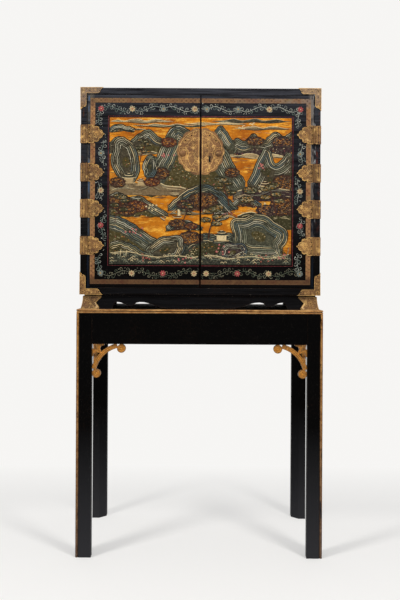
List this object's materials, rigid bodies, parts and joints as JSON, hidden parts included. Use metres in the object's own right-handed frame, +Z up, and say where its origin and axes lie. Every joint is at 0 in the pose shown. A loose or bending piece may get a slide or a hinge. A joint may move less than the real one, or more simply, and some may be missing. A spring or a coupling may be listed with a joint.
{
  "type": "cabinet on stand",
  "caption": "Black lacquer cabinet with picture doors, brass hinges, round lock plate and shelves, on a shaped base and a tall open stand with gilt brackets.",
  "frame": {"origin": "on the floor, under the middle of the stand", "axes": "+X to the viewer's right facing the doors, +Y to the back, +Z up"},
  "size_m": [0.9, 0.52, 1.7163],
  "materials": {
    "black_lacquer": "black lacquer, rubbed at the edges",
    "inside_lacquer": "dark red lacquer, satin",
    "door_lacquer": "painted and gilt lacquer picture in a black flowering border",
    "gilding": "old gilding over wood, rubbed",
    "brass": "engraved brass, dull and toned",
    "iron": "blackened iron"
  },
  "bodies": {
    "root": {"leg_front_left": "black_lacquer", "leg_front_right": "black_lacquer", "leg_back_right": "black_lacquer", "leg_back_left": "black_lacquer", "rail_front": "black_lacquer", "rail_back": "black_lacquer", "rail_left": "black_lacquer", "rail_right": "black_lacquer", "stand_top": "gilding", "bracket_front_left": "gilding", "bracket_front_right": "gilding", "bracket_left_front": "gilding", "bracket_left_back": "gilding", "bracket_right_front": "gilding", "bracket_right_back": "gilding", "base_front": "black_lacquer", "base_right": "black_lacquer", "base_back": "black_lacquer", "base_left": "black_lacquer", "foot_mount_front_left": "brass", "foot_mount_front_right": "brass", "foot_mount_back_right": "brass", "foot_mount_back_left": "brass", "case_bottom": "black_lacquer", "case_top": "black_lacquer", "case_side_left": "black_lacquer", "case_side_right": "black_lacquer", "case_back": "black_lacquer", "shelf_lower": "inside_lacquer", "shelf_upper": "inside_lacquer", "door_stop_top": "inside_lacquer", "door_stop_bottom": "inside_lacquer", "corner_mount_bottom_left": "brass", "corner_mount_bottom_right": "brass", "corner_mount_top_left": "brass", "corner_mount_top_right": "brass", "hinge_left_1_frame_leaf": "brass", "hinge_left_2_frame_leaf": "brass", "hinge_left_3_frame_leaf": "brass", "hinge_left_4_frame_leaf": "brass", "hinge_right_1_frame_leaf": "brass", "hinge_right_2_frame_leaf": "brass", "hinge_right_3_frame_leaf": "brass", "hinge_right_4_frame_leaf": "brass"},
    "left_door": {"door_left": "door_lacquer", "lock_plate_left": "brass", "left_door_bolt_guide": "iron", "hinge_left_1_door_leaf": "brass", "hinge_left_2_door_leaf": "brass", "hinge_left_3_door_leaf": "brass", "hinge_left_4_door_leaf": "brass"},
    "right_door": {"door_right": "door_lacquer", "lock_plate_right": "brass", "lock_case": "iron", "hinge_right_1_door_leaf": "brass", "hinge_right_2_door_leaf": "brass", "hinge_right_3_door_leaf": "brass", "hinge_right_4_door_leaf": "brass"},
    "lock_bolt": {"lock_bolt": "iron"},
    "left_door_bolt": {"left_door_bolt": "iron"}
  },
  "joints": [
    {"name": "left_door_hinge", "type": "hinge", "parent": "root", "child": "left_door", "pos_m": [-0.4154, -0.2527, 1.33695], "axis": [0, 0, -1], "range_deg": [0, 180]},
    {"name": "right_door_hinge", "type": "hinge", "parent": "root", "child": "right_door", "pos_m": [0.4154, -0.2527, 1.33695], "axis": [0, 0, 1], "range_deg": [0, 180]},
    {"name": "lock_bolt_slide", "type": "slide", "parent": "right_door", "child": "lock_bolt", "axis": [-1, 0, 0], "range_m": [0, 0.012]},
    {"name": "left_door_bolt_slide", "type": "slide", "parent": "left_door", "child": "left_door_bolt", "axis": [0, 0, 1], "range_m": [0, 0.012]}
  ]
}
